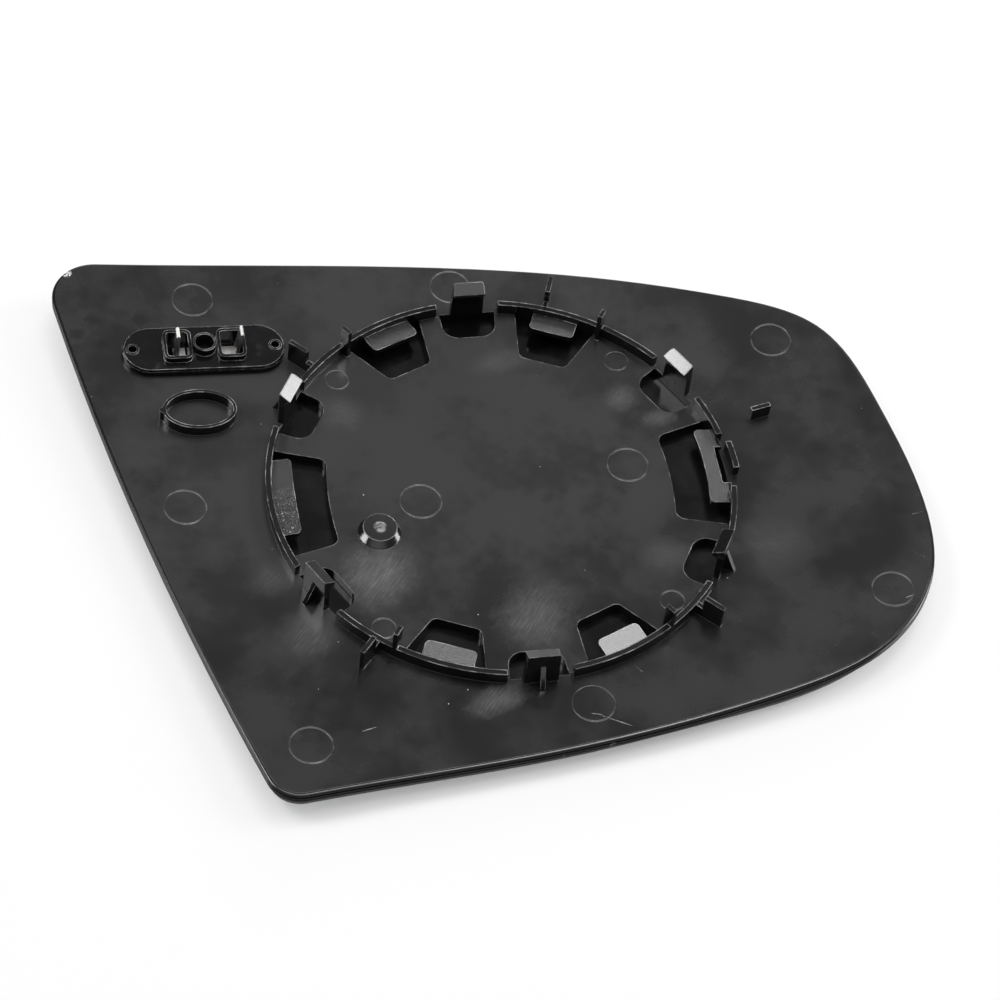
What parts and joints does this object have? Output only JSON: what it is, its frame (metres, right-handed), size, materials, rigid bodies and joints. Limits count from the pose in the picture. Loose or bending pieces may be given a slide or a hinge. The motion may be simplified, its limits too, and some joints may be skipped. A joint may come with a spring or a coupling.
{
  "type": "car door mirror glass",
  "caption": "Heated convex door mirror glass lying face down: domed black backing plate with a clip ring of snap hooks, sprung ledges and windows, and a holder with blade terminals.",
  "frame": {"origin": "on the axis of the clip ring, on the back face of the plate", "axes": "+X towards the rounded outer end of the mirror, +Y towards its top edge along the line of the top and bottom hooks, +Z out of the back of the plate, so the mirrored face lies below"},
  "size_m": [0.1851, 0.1449, 0.0151],
  "materials": {
    "plate_plastic": "satin, scuffed",
    "foil": "smooth film",
    "mirror": "mirrored, ground edge",
    "holder_plastic": "glossy",
    "plated_blade": "bright tin plate"
  },
  "bodies": {
    "root": {"backing_plate": "plate_plastic", "heater_foil": "foil", "mirror_glass": "mirror", "terminal_holder": "holder_plastic", "terminal_left": "plated_blade", "terminal_right": "plated_blade"}
  },
  "joints": []
}
